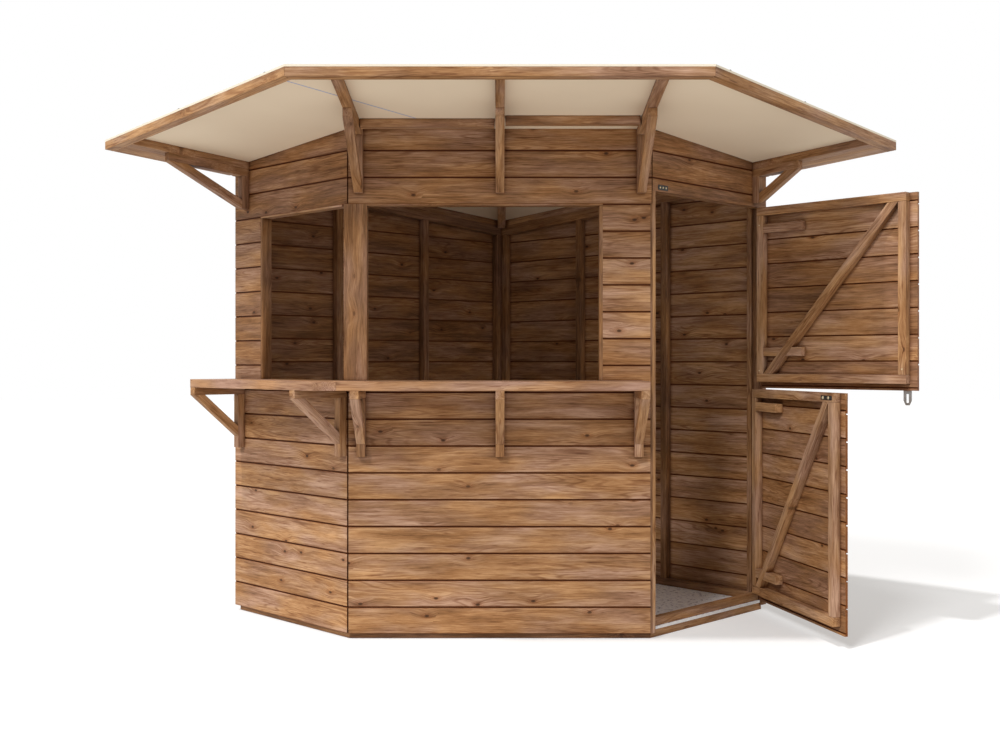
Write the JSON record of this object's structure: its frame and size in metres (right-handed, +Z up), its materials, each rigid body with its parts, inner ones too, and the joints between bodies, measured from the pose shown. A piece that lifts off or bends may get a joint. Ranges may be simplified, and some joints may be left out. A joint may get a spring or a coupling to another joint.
{
  "type": "garden bar shed",
  "caption": "Five sided garden bar shed with wide pent roof, counter on two sides under open serving hatches, and a two leaf stable door.",
  "frame": {"origin": "underside of the middle floor bearer, on the ground under the centre of the square plan", "axes": "+X to the right seen from the front counter, +Y to the back corner, +Z up"},
  "size_m": [3.4918, 2.6889, 2.2308],
  "materials": {
    "black_ironwork": "semi-gloss black",
    "zinc_steel": "dull zinc",
    "roof_sheet": "painted cream below",
    "floor_sheet": "grey speckled",
    "counter_board": "satin stained",
    "stained_board": "satin stained",
    "pale_lining": "satin",
    "base_timber": "rough sawn",
    "stained_timber": "satin stained"
  },
  "bodies": {
    "shed": {"base_rim": "base_timber", "base_bearers": "base_timber", "floor_sheet": "floor_sheet", "front_lower_cladding": "stained_board", "front_header_cladding": "stained_board", "corner_board": "stained_board", "front_frame": "stained_timber", "left_lower_cladding": "stained_board", "left_header_cladding": "stained_board", "pier_cladding": "stained_board", "left_frame": "stained_timber", "linings": "pale_lining", "right_header_cladding": "stained_board", "door_jamb_trim": "stained_board", "right_frame": "stained_timber", "back_left_cladding": "stained_board", "back_left_frame": "stained_timber", "back_right_cladding": "stained_board", "back_right_frame": "stained_timber", "counter_front": "counter_board", "counter_left": "counter_board", "sills": "stained_timber", "counter_posts": "stained_timber", "counter_arms": "stained_timber", "counter_braces": "stained_timber", "roof_sheet_left": "roof_sheet", "roof_sheet_right": "roof_sheet", "roof_edge_battens": "stained_timber", "roof_rear_battens": "stained_timber", "roof_rails": "stained_timber", "centre_rafter": "stained_timber", "roof_bracket_posts": "stained_timber", "roof_bracket_arms": "stained_timber", "roof_bracket_braces": "stained_timber", "hinge_plates": "black_ironwork", "header_keep": "black_ironwork"},
    "upper_leaf": {"upper_door_cladding": "stained_board", "upper_door_frame": "stained_timber", "upper_door_blocks": "stained_timber", "upper_door_hinges": "black_ironwork", "hasp": "zinc_steel"},
    "lower_leaf": {"lower_door_cladding": "stained_board", "lower_door_frame": "stained_timber", "lower_door_blocks": "stained_timber", "lower_door_hinges": "black_ironwork"}
  },
  "joints": [
    {"name": "upper_leaf_hinge", "type": "hinge", "parent": "shed", "child": "upper_leaf", "pos_m": [1.22893, -0.02477, 1.5], "axis": [0, 0, 1], "range_deg": [-88.5, 86.5]},
    {"name": "lower_leaf_hinge", "type": "hinge", "parent": "shed", "child": "lower_leaf", "pos_m": [1.22893, -0.02477, 0.55], "axis": [0, 0, 1], "range_deg": [-58.7, 116.3]}
  ]
}
